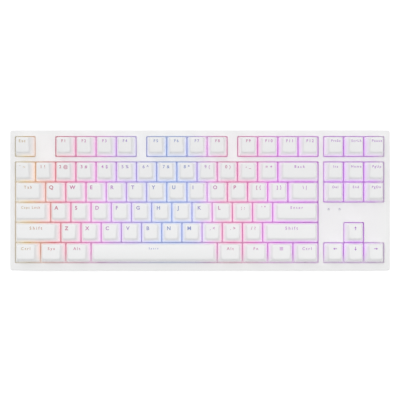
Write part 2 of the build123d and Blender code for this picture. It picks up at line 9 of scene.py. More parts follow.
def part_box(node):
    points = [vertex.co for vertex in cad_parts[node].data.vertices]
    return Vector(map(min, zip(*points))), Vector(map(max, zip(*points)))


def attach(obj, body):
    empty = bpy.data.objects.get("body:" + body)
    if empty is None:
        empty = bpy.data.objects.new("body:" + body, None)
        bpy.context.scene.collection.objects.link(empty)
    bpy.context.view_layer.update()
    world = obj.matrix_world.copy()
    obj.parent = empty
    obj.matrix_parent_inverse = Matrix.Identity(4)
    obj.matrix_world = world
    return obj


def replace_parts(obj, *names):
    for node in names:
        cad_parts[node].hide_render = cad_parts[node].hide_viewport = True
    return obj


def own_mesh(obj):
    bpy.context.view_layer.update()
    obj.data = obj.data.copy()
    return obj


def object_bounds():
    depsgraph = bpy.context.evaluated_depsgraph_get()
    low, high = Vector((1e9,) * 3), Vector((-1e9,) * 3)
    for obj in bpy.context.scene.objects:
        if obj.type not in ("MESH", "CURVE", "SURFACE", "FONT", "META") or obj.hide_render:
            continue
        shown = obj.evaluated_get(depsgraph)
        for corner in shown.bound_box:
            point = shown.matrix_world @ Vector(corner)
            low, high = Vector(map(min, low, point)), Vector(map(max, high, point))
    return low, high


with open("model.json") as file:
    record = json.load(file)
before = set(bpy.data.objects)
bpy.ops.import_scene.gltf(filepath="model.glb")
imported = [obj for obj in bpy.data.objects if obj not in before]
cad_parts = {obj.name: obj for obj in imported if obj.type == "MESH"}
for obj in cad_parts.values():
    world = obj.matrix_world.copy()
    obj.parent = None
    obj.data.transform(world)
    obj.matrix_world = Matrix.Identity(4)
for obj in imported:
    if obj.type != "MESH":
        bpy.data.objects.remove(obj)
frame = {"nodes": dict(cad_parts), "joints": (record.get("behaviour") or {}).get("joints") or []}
cad_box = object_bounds()

# Looks of a white tenkeyless keyboard with a rainbow back light.
#
# Shapes are drawn in the deck frame: millimetres, tilted with the switch plate, Z = 0 on the plate's upper
# face. to_row() turns its points into metres of the row frame, and every material works in metres too.

MM = 0.001

# ---- key field and case --------------------------------------------------------------------------

PITCH = 19.05  # one key unit
SPACE_UNITS = 6.25
FIELD_UNITS = (18.25, 6.25)
ROW_CENTRES = [5.75, 4.5, 3.5, 2.5, 1.5, 0.5]  # units from the field's front edge, the rear row first
STABILIZER_REACH = {2.0: 11.9, 2.25: 11.9, 2.75: 11.9, SPACE_UNITS: 50.0}  # by the key's width in units
PLATE_THICKNESS = 1.5
CASE_TOP = 7.5
CASE_SPLIT = -2.0  # height at which the two halves of the case meet
SEAM_EDGES = (0.10, 0.22)  # the seam's shadow fades out between these distances from the split

# ---- keycaps -------------------------------------------------------------------------------------

CAP_GAP = 0.85  # between neighbours
CAP_RIM = 6.0  # lower edge over the plate
CAP_ROWS = [(11.0, 8.0), (10.4, 7.0), (9.0, 3.5), (8.4, 0.0), (8.6, -5.0), (8.6, -5.0)]  # height, tilt
SIDE_LEAN = 3.1  # inset of the top from the rim
REAR_LEAN = 1.2
FRONT_LEAN = 3.3
RIM_CORNER = 1.0
CROWN_CORNER = 1.8
SKIRT_BULGE = 0.12
EDGE_ROUND = 1.3  # between skirt and top
DISH_DEPTH = 0.6
CREST_RADIUS = 32.0  # the space bar's top is convex
CAP_WALL = 1.3
CAP_ROOF = 1.75
INNER_CORNER = 0.6
RIM_ROUND = 0.18
BOSS_RADII = (2.25, 2.6)  # socket for the stem, under the cap's roof
BOSS_FOOT = 6.5
BOSS_BITE = 0.2  # how far the socket runs into the roof
ACROSS_SPACING = 4.0  # distance between mesh points along a cap's width
ACROSS_LEAST = 6
ALONG_POINTS = 6
SKIRT_RINGS = (0.02, 0.12, 0.3, 0.55, 0.8)  # shares of the way up the skirt
EDGE_STEPS = 5
CROWN_RINGS = (0.85, 0.65, 0.45, 0.25, 0.08)  # shares of the way out from the middle of the top
SHARP_ANGLE = radians(38)

# ---- stems, inserts and springs ------------------------------------------------------------------

# Blocks: width, depth, place in X and Y from the key's middle, foot and top.
CROSS_BLOCKS = [(4.0, 1.2, 0, 0, 6.4, 10.0)] + [(1.2, 1.38, 0, y, 6.4, 10.0) for y in (-1.31, 1.31)]
SLIDER_BLOCKS = [(6.8, 5.4, 0, 0, 2.5, 6.39), (2.0, 2.0, 0, 0, 0.1, 2.49)]
INSERT_BLOCKS = [(5.0, 3.1, 0, 1.6, -2.25, 6.39)] + [(1.6, 3.1, x, -1.6, -2.25, 6.39) for x in (-1.7, 1.7)]

SPRING_FOOT = -3.9
SPRING_TOP = 2.3
SPRING_RADIUS = 1.85
SPRING_WIRE = 0.14
SPRING_TURNS = 7
SPRING_STEPS = 14  # mesh rings in a turn
SPRING_SIDES = 5

# ---- legends -------------------------------------------------------------------------------------

LEGEND_LIFT = 0.03  # height of the print over the cap
CAPITAL = 0.73  # capital height of the built-in font at size 1
LETTER_INSET = 1.9  # of a single letter from the top's left edge
ICON_INSET = 3.6  # middle of an icon from the top's rear edge
MENU_BAR = (3.2, 0.5)
MENU_STEP = 1.05
ARROW_SHAFT = 0.28  # half its width
ARROW_HEAD = 1.05
ARROW_REACH = 1.8
ARROW_NECK = 0.2
ARROW_TURNS = {"@right": 0, "@up": pi / 2, "@left": pi, "@down": -pi / 2}

# Kinds of legend: height, letter spacing, stroke weight, distance from the top's rear edge, at the left.
LEGEND_STYLES = {
    "letter": (3.5, 1.0, 0.022, 1.7, True),
    "shift": (2.9, 1.6, 0.014, 1.9, False),
    "modifier": (2.7, 1.5, 0.012, 2.0, False),
    "space": (1.9, 1.6, 0.006, 2.2, False),
    "function": (2.7, 1.4, 0.014, 1.9, False),
    "pair": (3.0, 1.15, 0.014, 1.9, False),
    "wide": (2.5, 1.6, 0.012, 2.0, False),
    "small": (2.3, 1.35, 0.010, 2.0, False),
}
LEGEND_KINDS = {
    "Shift": "shift", "Space": "space", "Enter": "wide", "Back": "wide", "Esc": "function",
    "Ctrl": "modifier", "Alt": "modifier", "Fn": "modifier", "Sys": "modifier", "Tab": "modifier",
}

# Key banks: node, row from the rear, left edge and width of a key in units, legends.
BANKS = [
    ("key_esc", 0, 0.0, 1, ["Esc"]),
    ("keys_f1_f4", 0, 2.0, 1, ["F1", "F2", "F3", "F4"]),
    ("keys_f5_f8", 0, 6.5, 1, ["F5", "F6", "F7", "F8"]),
    ("keys_f9_f12", 0, 11.0, 1, ["F9", "F10", "F11", "F12"]),
    ("keys_prtsc_pause", 0, 15.25, 1, ["PrtSc", "ScrLk", "Pause"]),
    ("keys_grave_6", 1, 0.0, 1, ["` ~", "1 !", "2 @", "3 #", "4 $", "5 %", "6 ^"]),
    ("keys_7_equals", 1, 7.0, 1, ["7 &", "8 *", "9 (", "0 )", "- _", "= +"]),
    ("key_backspace", 1, 13.0, 2.0, ["Back"]),
    ("keys_insert_pgup", 1, 15.25, 1, ["Ins", "Home", "PgUp"]),
    ("key_tab", 2, 0.0, 1.5, ["Tab"]),
    ("keys_q_t", 2, 1.5, 1, list("QWERT")),
    ("keys_y_bracket", 2, 6.5, 1, list("YUIOP") + ["[ {", "] }"]),
    ("key_backslash", 2, 13.5, 1.5, ["\\ |"]),
    ("keys_delete_pgdn", 2, 15.25, 1, ["Del", "End", "PgDn"]),
    ("key_caps_lock", 3, 0.0, 1.75, ["Caps Lock"]),
    ("keys_a_g", 3, 1.75, 1, list("ASDFG")),
    ("keys_h_quote", 3, 6.75, 1, list("HJKL") + ["; :", "' \""]),
    ("key_enter", 3, 12.75, 2.25, ["Enter"]),
    ("key_shift_left", 4, 0.0, 2.25, ["Shift"]),
    ("keys_z_b", 4, 2.25, 1, list("ZXCVB")),
    ("keys_n_slash", 4, 7.25, 1, list("NM") + [", <", ". >", "/ ?"]),
    ("key_shift_right", 4, 12.25, 2.75, ["Shift"]),
    ("key_arrow_up", 4, 16.25, 1, ["@up"]),
    ("key_ctrl_left", 5, 0.0, 1.25, ["Ctrl"]),
    ("key_super_left", 5, 1.25, 1.25, ["Sys"]),
    ("key_alt_left", 5, 2.5, 1.25, ["Alt"]),
    ("key_space", 5, 3.75, SPACE_UNITS, ["Space"]),
    ("key_alt_right", 5, 10.0, 1.25, ["Alt"]),
    ("key_fn", 5, 11.25, 1.25, ["Fn"]),
    ("key_menu", 5, 12.5, 1.25, ["@menu"]),
    ("key_ctrl_right", 5, 13.75, 1.25, ["Ctrl"]),
    ("key_arrow_left", 5, 15.25, 1, ["@left"]),
    ("key_arrow_down", 5, 16.25, 1, ["@down"]),
    ("key_arrow_right", 5, 17.25, 1, ["@right"]),
]

# Back light along the board: key units from the left, hue in degrees, saturation.
LIGHT_STOPS = [
    (0.0, 48, 0.45), (0.6, 42, 0.62), (1.2, 20, 0.62), (1.8, -6, 0.70), (2.4, -23, 0.80), (3.2, -37, 0.78),
    (4.2, -56, 0.62), (4.8, -76, 0.52), (5.4, -88, 0.48), (6.0, -104, 0.42), (6.6, -126, 0.42),
    (7.4, -140, 0.52), (8.5, -136, 0.50), (9.0, -112, 0.42), (9.6, -62, 0.48), (10.4, -34, 0.74),
    (11.4, -39, 0.84), (12.0, -48, 0.84), (12.6, -61, 0.82), (13.6, -66, 0.82), (15.0, -67, 0.84),
    (15.6, -72, 0.84), (18.25, -72, 0.80),
]

# ---- finishes ------------------------------------------------------------------------------------

# Material's name, colour, roughness, metallic, grain's depth and grain's scale.
FINE_GRAIN = 2500.0
FINISHES = {
    "foam": ("foam_sheet", (0.03, 0.03, 0.032), 0.95, 0.0, 0.8, 1200.0),
    "board": ("board_mask", (0.012, 0.014, 0.016), 0.3, 0.0, 0.05, FINE_GRAIN),
    "chips": ("chip_resin", (0.02, 0.02, 0.022), 0.55, 0.0, 0.3, FINE_GRAIN),
    "steel": ("spring_steel", (0.6, 0.6, 0.62), 0.3, 1.0, 0.1, FINE_GRAIN),
    "zinc": ("zinc_plate", (0.45, 0.45, 0.48), 0.35, 1.0, 0.2, FINE_GRAIN),
    "brass": ("leaf_brass", (0.78, 0.58, 0.25), 0.3, 1.0, 0.1, FINE_GRAIN),
    "rubber": ("pad_rubber", (0.03, 0.03, 0.03), 0.85, 0.0, 0.5, 1500.0),
    "nylon": ("housing_nylon", (0.75, 0.75, 0.75), 0.5, 0.0, 0.2, FINE_GRAIN),
    "clear": ("housing_clear", (0.8, 0.82, 0.84), 0.2, 0.0, 0.05, FINE_GRAIN),
    "led": ("led_resin", (0.85, 0.82, 0.7), 0.25, 0.0, 0.05, FINE_GRAIN),
    "lens": ("lens_clear", (0.70, 0.68, 0.80), 0.15, 0.0, 0.02, FINE_GRAIN),
    "stem": ("stem_acetal", (0.55, 0.08, 0.08), 0.35, 0.0, 0.1, FINE_GRAIN),
    "case": ("case_plastic", (0.872, 0.872, 0.872), 0.46, 0.0, 0.3, 1800.0),
    "plate": ("plate_paint", (0.85, 0.85, 0.85), 0.5, 0.0, 0.3, 900.0),
    "cap": ("cap_plastic", (0.875, 0.878, 0.88), 0.42, 0.0, 0.25, 3200.0),
    "print": ("legend_print", (0.26, 0.25, 0.28), 0.4, 0.0, 0.1, FINE_GRAIN),
}

# CAD nodes that keep their own shape, by finish. The stabilizer wires are steel.
NODES_BY_FINISH = {
    "case": ("top_case", "bottom_case", "flip_foot_left", "flip_foot_right"),
    "plate": ("switch_plate",),
    "foam": ("sound_foam",),
    "board": ("circuit_board",),
    "chips": ("controller_chips",),
    "zinc": ("usb_c_socket", "case_screws"),
    "lens": ("indicator_lenses",),
    "led": ("backlight_leds",),
    "nylon": ("switch_lower_housings", "stabilizer_housings"),
    "clear": ("switch_upper_housings",),
    "brass": ("switch_contacts",),
    "rubber": ("rubber_feet", "flip_foot_pad_left", "flip_foot_pad_right"),
}

MOTTLE = 0.03  # how much darker the dark patches are
MOTTLE_SCALE = 60.0
GLOSS_SPREAD = 0.1  # share by which roughness varies either way
GRAIN_DEPTH = 0.00004

# Strengths of the back light, painted as glow on parts that are no lamps, and of the painted shadow where
# the case's halves meet.
WHITE = (1.0, 1.0, 1.0, 1.0)
GAP_WHITE = (1.0, 0.98, 0.93)  # painted pale light along the field's border, where light from the room reaches into the gaps
COOL_WHITE = (0.95, 0.96, 1.0)  # colour of the painted glow in the sides of the caps
WAVER = 0.9  # key units that the colour bands waver by
WAVER_SCALE = 22.0
BORDER_FADE = 0.45  # key units over which the colour fades towards the field's border
PLATE_GLOW = (0.09, 0.30)  # coloured and pale
CASE_GLOW = (0.12, 0.15)
GLOW_FOOT = -0.5  # the case glows only above this height
GLOW_INSETS = (0.0035, 0.0045)  # and this far in from its sides and ends, in metres
BEZEL_SKIN = 0.2  # depth below the bezel's face at which its windows' walls start to glow more
BEZEL_SHARE = 0.1
RESINS = ("clear", "led", "nylon")
RESIN_GLOW = 0.2
CAP_RIM_GLOW = 0.20
CAP_GLOW_FALL = 1.6  # exponent of the painted glow's fall from the rim upwards
CAP_GLOW_PALENESS = 0.12
CAP_PASS = 0.045  # painted white glow in a cap's sides
# share of the back light's colour painted into the legends' print
PRINT_PAINTED_LIGHT = 0.42
# darkness of the painted shadow where the case's halves meet
SEAM_SHADE = 0.35

# ---- lamps and camera ----------------------------------------------------------------------------

LAMPS = [  # name, place, size in metres and power in watts
    ("key_light", (-1.4, 1.7, 2.3), 1.6, 10.0),
    ("fill_light", (1.6, -1.4, 2.2), 2.4, 10.0),
]
SKY_TOWARD = (-0.12, 0.28, 0.95)  # direction in which the surroundings are brightest
SKY_SPAN = (-0.1, 0.9)  # cosines from that direction between which they brighten
SKY_STRENGTH = (0.30, 1.06)
FLOOR_REACH = 3.0
FLOOR_COLOR = (0.80, 0.80, 0.80)
FLOOR_LIFT = 0.42  # how much brighter the camera sees the floor
CAMERA_DISTANCE = 0.6
CAMERA_SENSOR = 36.0
CAMERA_WIDTH = 377.7  # millimetres of the deck across the picture, at the caps' rims
CAMERA_AIM = 0.4  # place in Y that it looks at


# ---- the deck frame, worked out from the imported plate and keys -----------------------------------

slides = {joint["child"]: joint for joint in frame["joints"] if joint["type"] == "slide"}
press_axis = Vector(slides["key_space"]["axis"])
TILT = atan2(press_axis.y, -press_axis.z)
plate_low, plate_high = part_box("switch_plate")
deck_origin = Vector((
    0.0,
    (plate_low.y + plate_high.y - PLATE_THICKNESS * MM * sin(TILT)) / 2,
    (plate_low.z + plate_high.z + PLATE_THICKNESS * MM * cos(TILT)) / 2,
))
DECK = Matrix.Translation(deck_origin) @ Matrix.Rotation(TILT, 4, "X") @ Matrix.Scale(MM, 4)
DECK_UP = (Matrix.Rotation(TILT, 3, "X") @ Vector((0, 0, 1))).normalized()

FIELD_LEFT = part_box("key_esc")[0].x / MM - CAP_GAP / 2
space_rim = (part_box("key_space")[0].y - deck_origin.y) / MM + CAP_RIM * sin(TILT)
FIELD_FRONT = space_rim / cos(TILT) - CAP_GAP / 2

CASE_HALVES = [(high - low) / 2 for low, high in zip(*cad_box)][:2]  # half its width and depth, in metres


def to_row(x, y, z):
    return DECK @ Vector((x, y, z))


def row_y(row):
    return FIELD_FRONT + ROW_CENTRES[row] * PITCH


# ---- mesh helpers --------------------------------------------------------------------------------


class Shape:
    """Vertices in the deck frame, faces, and for each vertex its share of the way up the cap."""

    def __init__(self):
        self.points = []
        self.faces = []
        self.lift = []

    def ring(self, points, lifts=None):
        start = len(self.points)
        self.points += points
        self.lift += lifts or [0.0] * len(points)
        return list(range(start, start + len(points)))

    def stitch(self, lower, upper):
        count = len(lower)
        for i in range(count):
            j = (i + 1) % count
            self.faces.append((lower[i], lower[j], upper[j], upper[i]))

    def lid(self, ring, flip=False):
        self.faces.append(tuple(reversed(ring)) if flip else tuple(ring))

    def prism(self, outline, low, high):
        """Upright prism over an outline that runs anticlockwise."""
        lower = self.ring([(x, y, low) for x, y in outline])
        upper = self.ring([(x, y, high) for x, y in outline])
        self.lid(lower, True)
        self.stitch(lower, upper)
        self.lid(upper)

    def tube(self, x, y, radii, low, high, sides=16):
        """Upright tube, closed at both ends."""
        turns = [2 * pi * i / sides for i in range(sides)]
        rings = []
        for radius, z in ((radii[0], high), (radii[0], low), (radii[1], low), (radii[1], high)):
            rings.append(self.ring([(x + radius * cos(t), y + radius * sin(t), z) for t in turns]))
        for lower, upper in zip(rings, rings[1:] + rings[:1]):
            self.stitch(lower, upper)

    def build(self, name, body, mat, slot):
        """Object of this shape that rides on a body."""
        mesh = bpy.data.meshes.new(name)
        mesh.from_pydata([to_row(*p) for p in self.points], [], self.faces)
        attribute = mesh.attributes.new("lift", "FLOAT", "POINT")
        attribute.data.foreach_set("value", self.lift)
        mesh.shade_smooth()
        mesh.set_sharp_from_angle(angle=SHARP_ANGLE)
        mesh.materials.append(mat)
        piece = bpy.data.objects.new(name, mesh)
        bpy.context.scene.collection.objects.link(piece)
        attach(piece, body)
        return piece


def rectangle(width, depth, x=0.0, y=0.0):
    w, d = width / 2, depth / 2
    return [(x - w, y - d), (x + w, y - d), (x + w, y + d), (x - w, y + d)]


def rounded(half_width, half_depth, middle, radius, across, arc=5):
    """Rounded rectangle, anticlockwise, with extra points on its straight sides."""
    corners = [(1, -1), (1, 1), (-1, 1), (-1, -1)]
    outline = []
    for turn, (sx, sy) in enumerate(corners):
        cx, cy = sx * (half_width - radius), middle + sy * (half_depth - radius)
        for step in range(arc + 1):
            angle = (turn - 1) * pi / 2 + step / arc * pi / 2
            outline.append((cx + radius * cos(angle), cy + radius * sin(angle)))
        nx, ny = corners[(turn + 1) % 4]
        ex, ey = outline[-1]
        angle = turn * pi / 2
        tx = nx * (half_width - radius) + radius * cos(angle)
        ty = middle + ny * (half_depth - radius) + radius * sin(angle)
        side = across if turn % 2 else ALONG_POINTS
        for step in range(1, side):
            share = step / side
            outline.append((ex + (tx - ex) * share, ey + (ty - ey) * share))
    return outline


# ---- keycaps -------------------------------------------------------------------------------------


class Cap:
    """Hollow cap around its key's middle: leaning sides, a rounded edge and a dished or crested top."""

    def __init__(self, units, row):
        self.height, tilt = CAP_ROWS[row]
        self.slope = sin(radians(tilt))
        self.convex = units == SPACE_UNITS
        self.half_width = (units * PITCH - CAP_GAP) / 2
        self.half_depth = (PITCH - CAP_GAP) / 2
        self.crown_half_width = self.half_width - SIDE_LEAN
        self.crown_half_depth = self.half_depth - (REAR_LEAN + FRONT_LEAN) / 2
        self.middle = (FRONT_LEAN - REAR_LEAN) / 2
        self.dish_radius = self.crown_half_width ** 2 / (2 * DISH_DEPTH)
        self.across = max(ACROSS_LEAST, ceil(2 * self.half_width / ACROSS_SPACING))
        self.rim = rounded(self.half_width, self.half_depth, 0, RIM_CORNER, self.across)
        self.crown = rounded(
            self.crown_half_width, self.crown_half_depth, self.middle, CROWN_CORNER, self.across)
        self.meets = [self.meet(i) for i in range(len(self.rim))]
        reach = STABILIZER_REACH.get(units, 0)
        self.sockets = sorted({0, -reach, reach})

    def top(self, x, y):
        """Height of the finger surface over the rim."""
        dy = y - self.middle
        bend = -dy * dy / (2 * CREST_RADIUS) if self.convex else x * x / (2 * self.dish_radius)
        return self.height + self.slope * dy + bend

    def skirt(self, i, share):
        """Point of the outer side, at a share of the cap's height."""
        (bx, by), (tx, ty) = self.rim[i], self.crown[i]
        bulge = SKIRT_BULGE * sin(pi * min(max(share, 0), 1))
        grow = 1 + bulge / hypot(bx, by)
        return (bx + (tx - bx) * share) * grow, (by + (ty - by) * share) * grow, share * self.height

    def meet(self, i):
        """Share of the cap's height at which the side reaches the finger surface."""
        share = 1.0
        for _ in range(6):
            share = self.top(*self.skirt(i, share)[:2]) / self.height
        return share

    def inner_ring(self, inset, share):
        """Outline inside the sides by a distance, at a share of the cap's height."""
        half_width = self.half_width - inset - SIDE_LEAN * share
        half_depth = self.half_depth - inset - (REAR_LEAN + FRONT_LEAN) / 2 * share
        outline = rounded(half_width, half_depth, self.middle * share, INNER_CORNER, self.across)
        return [(x, y, share * self.height) for x, y in outline], [share] * len(outline)

    def edge_rings(self):
        """Curve from the side over the edge to the top, and the ring of its last points."""
        lower, corner, upper = [], [], []
        for i, meet in enumerate(self.meets):
            corner.append(Vector(self.skirt(i, meet)))
            lower.append(Vector(self.skirt(i, meet - EDGE_ROUND / self.height)))
            x = corner[-1].x * (1 - EDGE_ROUND / self.crown_half_width)
            y = self.middle + (corner[-1].y - self.middle) * (1 - EDGE_ROUND / self.crown_half_depth)
            upper.append(Vector((x, y, self.top(x, y))))
        rings = []
        for step in range(EDGE_STEPS + 1):
            s = step / EDGE_STEPS
            rings.append([(1 - s) ** 2 * a + 2 * s * (1 - s) * c + s * s * b
                          for a, c, b in zip(lower, corner, upper)])
        return rings, upper

    def draw(self, shape, x0, y0):
        def ring(points, lifts=None):
            placed = [(x0 + x, y0 + y, CAP_RIM + z) for x, y, z in points]
            return shape.ring(placed, lifts or [1.0] * len(placed))

        ceiling = ring(*self.inner_ring(CAP_WALL, 1 - CAP_ROOF / self.height))
        inner = ring(*self.inner_ring(CAP_WALL, 0.0))
        last = ring(*self.inner_ring(RIM_ROUND, 0.0))
        shape.lid(ceiling, True)
        shape.stitch(ceiling, inner)
        shape.stitch(inner, last)
        for dx in self.sockets:
            roof = CAP_RIM + self.height - CAP_ROOF + BOSS_BITE
            shape.tube(x0 + dx, y0, BOSS_RADII, BOSS_FOOT, roof)

        outer = []
        for share in SKIRT_RINGS:
            lifts = [meet * share for meet in self.meets]
            outer.append(ring([self.skirt(i, lift) for i, lift in enumerate(lifts)], lifts))
        edge, upper = self.edge_rings()
        outer += [ring(points) for points in edge]
        for share in CROWN_RINGS:
            spots = [(p.x * share, self.middle + (p.y - self.middle) * share) for p in upper]
            outer.append(ring([(x, y, self.top(x, y)) for x, y in spots]))
        for after in outer:
            shape.stitch(last, after)
            last = after
        shape.lid(last)


# ---- stems and springs ---------------------------------------------------------------------------


def add_blocks(shape, blocks, x0, y0):
    for width, depth, dx, dy, foot, top in blocks:
        shape.prism(rectangle(width, depth, x0 + dx, y0 + dy), foot, top)


def add_spring(shape, x0, y0):
    """Coil between the housing's floor and the slider."""
    steps = SPRING_TURNS * SPRING_STEPS
    rise = SPRING_TOP - SPRING_FOOT - 2 * SPRING_WIRE
    last = None
    for step in range(steps + 1):
        angle = 2 * pi * step / SPRING_STEPS
        height = SPRING_FOOT + SPRING_WIRE + rise * step / steps
        points = []
        for side in range(SPRING_SIDES):
            turn = 2 * pi * side / SPRING_SIDES
            radius = SPRING_RADIUS + SPRING_WIRE * cos(turn)
            points.append((
                x0 + radius * cos(angle), y0 + radius * sin(angle), height + SPRING_WIRE * sin(turn)))
        ring = shape.ring(points)
        if last:
            shape.stitch(ring, last)
        else:
            shape.lid(ring)
        last = ring
    shape.lid(last, True)


# ---- legends -------------------------------------------------------------------------------------


def icon_outlines(name):
    """Menu bars, or a small arrow with a long head."""
    if name == "@menu":
        return [rectangle(*MENU_BAR, 0, y) for y in (-MENU_STEP, 0.0, MENU_STEP)]
    half = [(-ARROW_REACH, ARROW_SHAFT), (ARROW_NECK, ARROW_SHAFT), (ARROW_NECK, ARROW_HEAD)]
    points = [(x, -y) for x, y in half] + [(ARROW_REACH, 0)] + half[::-1]
    c, s = cos(ARROW_TURNS[name]), sin(ARROW_TURNS[name])
    return [[(c * x - s * y, s * x + c * y) for x, y in points]]


def glyph_mesh(text, height, spacing, weight):
    """Points and faces of flat letters of the given capital height, in Blender's built-in font."""
    curve = bpy.data.curves.new("glyph", "FONT")
    curve.body = text
    curve.space_character = spacing
    curve.offset = weight
    curve.resolution_u = 4
    holder = bpy.data.objects.new("glyph", curve)
    bpy.context.scene.collection.objects.link(holder)
    bpy.context.view_layer.update()
    mesh = bpy.data.meshes.new_from_object(holder)
    scale = height / CAPITAL
    points = [(vertex.co.x * scale, vertex.co.y * scale) for vertex in mesh.vertices]
    faces = [tuple(polygon.vertices) for polygon in mesh.polygons]
    bpy.data.objects.remove(holder)
    bpy.data.curves.remove(curve)
    bpy.data.meshes.remove(mesh)
    return points, faces


def legend_kind(text):
    if len(text) == 1:
        return "letter"
    if text in LEGEND_KINDS:
        return LEGEND_KINDS[text]
    if text.startswith("F"):
        return "function"
    return "pair" if len(text) == 3 and " " in text else "small"


def add_legend(shape, text, cap, x0, y0):
    """Legend that lies on the finger surface, near its rear edge."""
    rear = cap.half_depth - REAR_LEAN
    if text.startswith("@"):
        parts = [(outline, [tuple(range(len(outline)))]) for outline in icon_outlines(text)]
        dx, dy = 0.0, rear - ICON_INSET
    else:
        height, spacing, weight, margin, at_left = LEGEND_STYLES[legend_kind(text)]
        points, faces = glyph_mesh(text, height, spacing, weight)
        low, high = min(x for x, _ in points), max(x for x, _ in points)
        dx = LETTER_INSET - cap.crown_half_width - low if at_left else -(low + high) / 2
        dy = rear - margin - height
        parts = [(points, faces)]
    for points, faces in parts:
        spots = [(x + dx, y + dy) for x, y in points]
        placed = [(x0 + x, y0 + y, CAP_RIM + cap.top(x, y) + LEGEND_LIFT) for x, y in spots]
        ring = shape.ring(placed)
        shape.faces += [tuple(ring[i] for i in face) for face in faces]


# ---- shader helpers ------------------------------------------------------------------------------


class Tree:
    """Short ways to add shader nodes. A value is a number, a colour or another node's socket."""

    def __init__(self, tree):
        self.nodes = tree.nodes
        self.links = tree.links

    def feed(self, socket, value):
        if isinstance(value, bpy.types.NodeSocket):
            self.links.new(value, socket)
        else:
            socket.default_value = value

    def add(self, kind, **inputs):
        node = self.nodes.new(kind)
        for name, value in inputs.items():
            self.feed(node.inputs[name.replace("_", " ")], value)
        return node

    def position(self):
        return self.add("ShaderNodeTexCoord").outputs["Object"]

    def camera_ray(self):
        """1 for what the camera sees directly, 0 for light that goes on to other surfaces."""
        return self.add("ShaderNodeLightPath").outputs["Is Camera Ray"]

    def math(self, operation, *values):
        node = self.nodes.new("ShaderNodeMath")
        node.operation = operation
        for socket, value in zip(node.inputs, values):
            self.feed(socket, value)
        return node.outputs["Value"]

    def ranged(self, value, low, high, to_low=0.0, to_high=1.0):
        return self.add(
            "ShaderNodeMapRange", Value=value, From_Min=low, From_Max=high, To_Min=to_low, To_Max=to_high
        ).outputs["Result"]

    def vector(self, operation, a, b, output="Vector"):
        node = self.nodes.new("ShaderNodeVectorMath")
        node.operation = operation
        self.feed(node.inputs[0], a)
        self.feed(node.inputs[1], b)
        return node.outputs[output]

    def scaled(self, color, amount):
        """Colour times a number."""
        node = self.nodes.new("ShaderNodeVectorMath")
        node.operation = "SCALE"
        self.feed(node.inputs[0], color)
        self.feed(node.inputs["Scale"], amount)
        return node.outputs["Vector"]

    def mix(self, share, a, b):
        """Colour that goes from a to b."""
        node = self.nodes.new("ShaderNodeMix")
        node.data_type = "RGBA"
        for index, value in ((0, share), (6, a), (7, b)):
            self.feed(node.inputs[index], value)
        return node.outputs[2]


def linear(value):
    """One channel of a display colour as linear light."""
    return value / 12.92 if value <= 0.04045 else ((value + 0.055) / 1.055) ** 2.4


def light_group():
    """Node group: the back light's colour at a place of the board, and how well inside the field it is."""
    group = bpy.data.node_groups.new("back_light", "ShaderNodeTree")
    group.interface.new_socket("Color", in_out="OUTPUT", socket_type="NodeSocketColor")
    group.interface.new_socket("Inside", in_out="OUTPUT", socket_type="NodeSocketFloat")
    tree = Tree(group)
    place = tree.position()
    split = tree.add("ShaderNodeSeparateXYZ", Vector=place)
    left, width = FIELD_LEFT * MM, FIELD_UNITS[0] * PITCH * MM

    # The colour bands waver a little to and fro.
    noise = tree.add("ShaderNodeTexNoise", Vector=place, Scale=WAVER_SCALE, Detail=1.0).outputs["Fac"]
    shift = tree.math("MULTIPLY_ADD", noise, WAVER * PITCH * MM, -WAVER / 2 * PITCH * MM)
    along = tree.math("ADD", split.outputs["X"], shift)
    ramp = tree.add("ShaderNodeValToRGB", Fac=tree.ranged(along, left, left + width))
    elements = ramp.color_ramp.elements
    for units, hue, saturation in LIGHT_STOPS:
        at = units / FIELD_UNITS[0]
        element = elements[0] if at == 0 else elements[-1] if at == 1 else elements.new(at)
        rgb = colorsys.hsv_to_rgb(hue / 360 % 1, saturation, 1.0)
        element.color = (*[linear(channel) for channel in rgb], 1)

    front = to_row(0, FIELD_FRONT, 0).y
    rear = to_row(0, FIELD_FRONT + FIELD_UNITS[1] * PITCH, 0).y
    fade = BORDER_FADE * PITCH * MM
    inside = 1.0
    for axis, border, inward, least in (
        ("X", left, fade, 0.3),
        ("X", left + width, -fade, 0.25),
        ("Y", front, fade, 0.3),
        ("Y", rear, -fade, 0.8),
    ):
        near = tree.ranged(split.outputs[axis], border, border + inward, least)
        inside = tree.math("MULTIPLY", inside, near)
    tree.add("NodeGroupOutput", Color=ramp.outputs["Color"], Inside=inside)
    return group


BACK_LIGHT = light_group()


def back_light(tree):
    """Colour and nearness of the back light, as sockets."""
    node = tree.add("ShaderNodeGroup")
    node.node_tree = BACK_LIGHT
    return node.outputs["Color"], node.outputs["Inside"]


def deck_height(tree):
    """Height over the plate, in millimetres, of the shaded point."""
    offset = tree.vector("SUBTRACT", tree.position(), deck_origin)
    return tree.math("MULTIPLY", tree.vector("DOT_PRODUCT", offset, DECK_UP, "Value"), 1 / MM)


# ---- materials -----------------------------------------------------------------------------------


